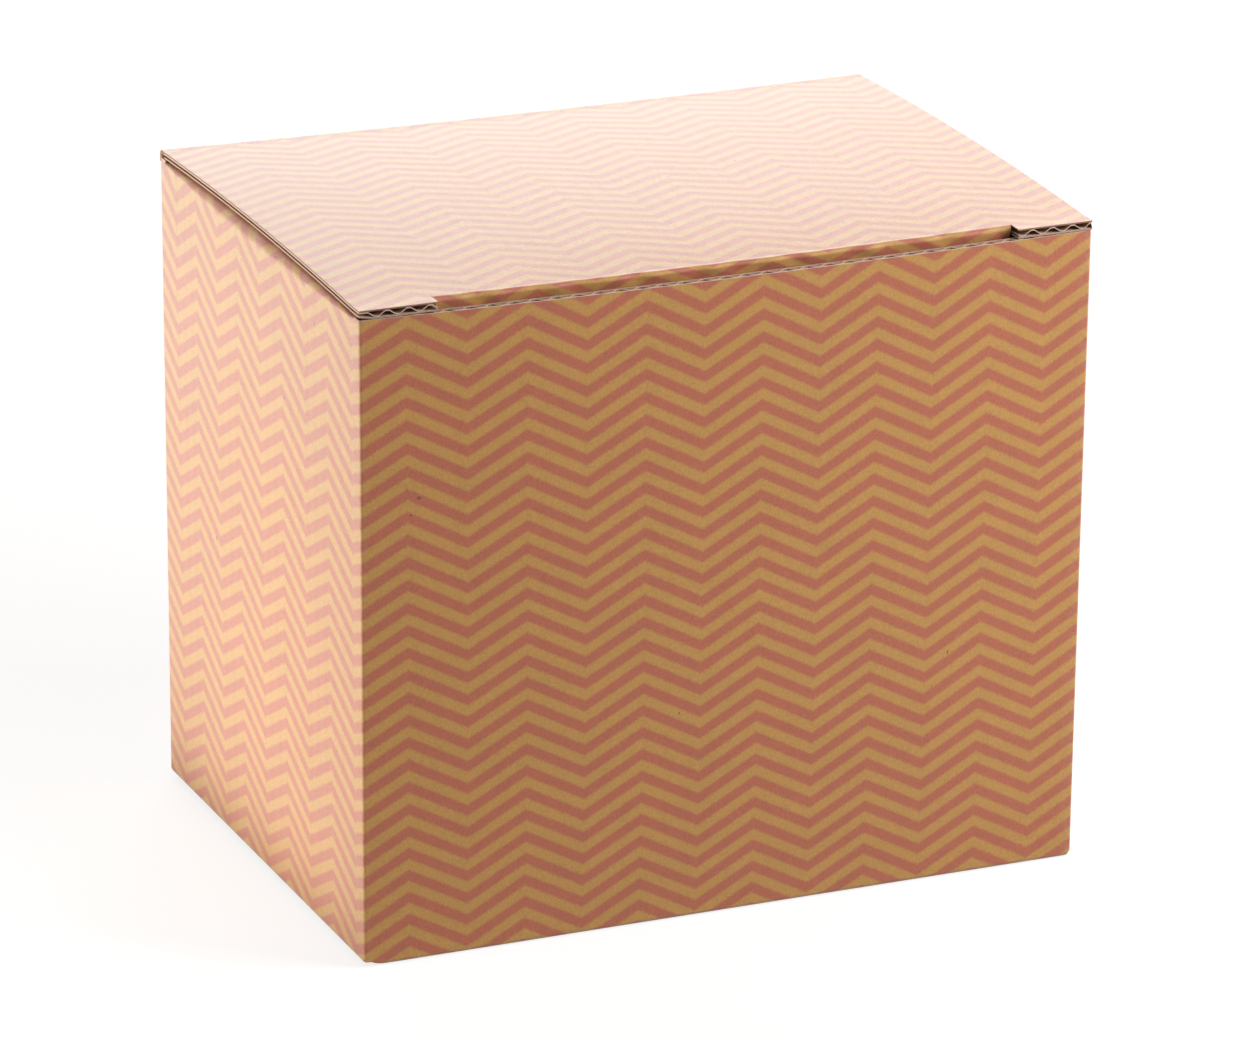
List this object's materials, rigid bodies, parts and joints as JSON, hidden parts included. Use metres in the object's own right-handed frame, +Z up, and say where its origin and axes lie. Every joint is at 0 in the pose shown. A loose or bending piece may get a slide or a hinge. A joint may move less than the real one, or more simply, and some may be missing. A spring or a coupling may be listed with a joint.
{
  "type": "mug box",
  "caption": "Tuck-top corrugated gift carton for a mug, with a hinged lid, tuck flap, dust flaps, snap-lock bottom and a chevron print on the outside.",
  "frame": {"origin": "middle of the base, on the surface that the box stands on", "axes": "+Z up, -Y towards the front wall with the tuck closure, +X to the right seen from the front"},
  "size_m": [0.12, 0.086, 0.105],
  "materials": {
    "printed_liner": "matt print of chevron stripes on uncoated kraft paper",
    "kraft_liner": "uncoated kraft paper",
    "fluting": "uncoated fluting paper, waved",
    "printed_fold": "creased corrugated board, printed outside",
    "bottom_board": "corrugated board, printed on its under face"
  },
  "bodies": {
    "carton": {"front_wall_outer_liner": "printed_liner", "front_wall_fluting": "fluting", "front_wall_inner_liner": "kraft_liner", "back_wall_outer_liner": "printed_liner", "back_wall_fluting": "fluting", "back_wall_inner_liner": "kraft_liner", "left_wall_outer_liner": "printed_liner", "left_wall_fluting": "fluting", "left_wall_inner_liner": "kraft_liner", "right_wall_outer_liner": "printed_liner", "right_wall_fluting": "fluting", "right_wall_inner_liner": "kraft_liner", "glue_flap_outer_liner": "printed_liner", "glue_flap_fluting": "fluting", "glue_flap_inner_liner": "kraft_liner", "front_left_corner": "printed_fold", "front_right_corner": "printed_fold", "back_left_corner": "printed_fold", "seam_corner": "printed_fold", "lid_crease": "printed_fold", "left_dust_crease": "printed_fold", "right_dust_crease": "printed_fold", "front_bottom_flap": "bottom_board", "back_bottom_flap": "bottom_board", "left_bottom_flap": "bottom_board", "right_bottom_flap": "bottom_board", "front_bottom_fold": "printed_fold", "back_bottom_fold": "printed_fold", "left_bottom_fold": "printed_fold", "right_bottom_fold": "printed_fold"},
    "lid": {"lid_outer_liner": "printed_liner", "lid_fluting": "fluting", "lid_inner_liner": "kraft_liner", "tuck_crease": "printed_fold"},
    "tuck_flap": {"tuck_flap_outer_liner": "printed_liner", "tuck_flap_fluting": "fluting", "tuck_flap_inner_liner": "kraft_liner"},
    "left_dust_flap": {"left_dust_flap_outer_liner": "printed_liner", "left_dust_flap_fluting": "fluting", "left_dust_flap_inner_liner": "kraft_liner"},
    "right_dust_flap": {"right_dust_flap_outer_liner": "printed_liner", "right_dust_flap_fluting": "fluting", "right_dust_flap_inner_liner": "kraft_liner"}
  },
  "joints": [
    {"name": "lid_fold", "type": "hinge", "parent": "carton", "child": "lid", "pos_m": [0, 0.0422, 0.1042], "axis": [-1, 0, 0], "range_deg": [0, 175]},
    {"name": "tuck_fold", "type": "hinge", "parent": "lid", "child": "tuck_flap", "pos_m": [0, -0.0402, 0.1042], "axis": [-1, 0, 0], "range_deg": [0, 60]},
    {"name": "left_dust_fold", "type": "hinge", "parent": "carton", "child": "left_dust_flap", "pos_m": [-0.0592, 0, 0.1023], "axis": [0, -1, 0], "range_deg": [0, 90]},
    {"name": "right_dust_fold", "type": "hinge", "parent": "carton", "child": "right_dust_flap", "pos_m": [0.0592, 0, 0.1023], "axis": [0, 1, 0], "range_deg": [0, 90]}
  ],
  "couplings": [
    {"joint": "tuck_fold", "follows": "lid_fold", "ratio": 0.34},
    {"joint": "left_dust_fold", "follows": "lid_fold", "ratio": 0.514},
    {"joint": "right_dust_fold", "follows": "lid_fold", "ratio": 0.514}
  ]
}
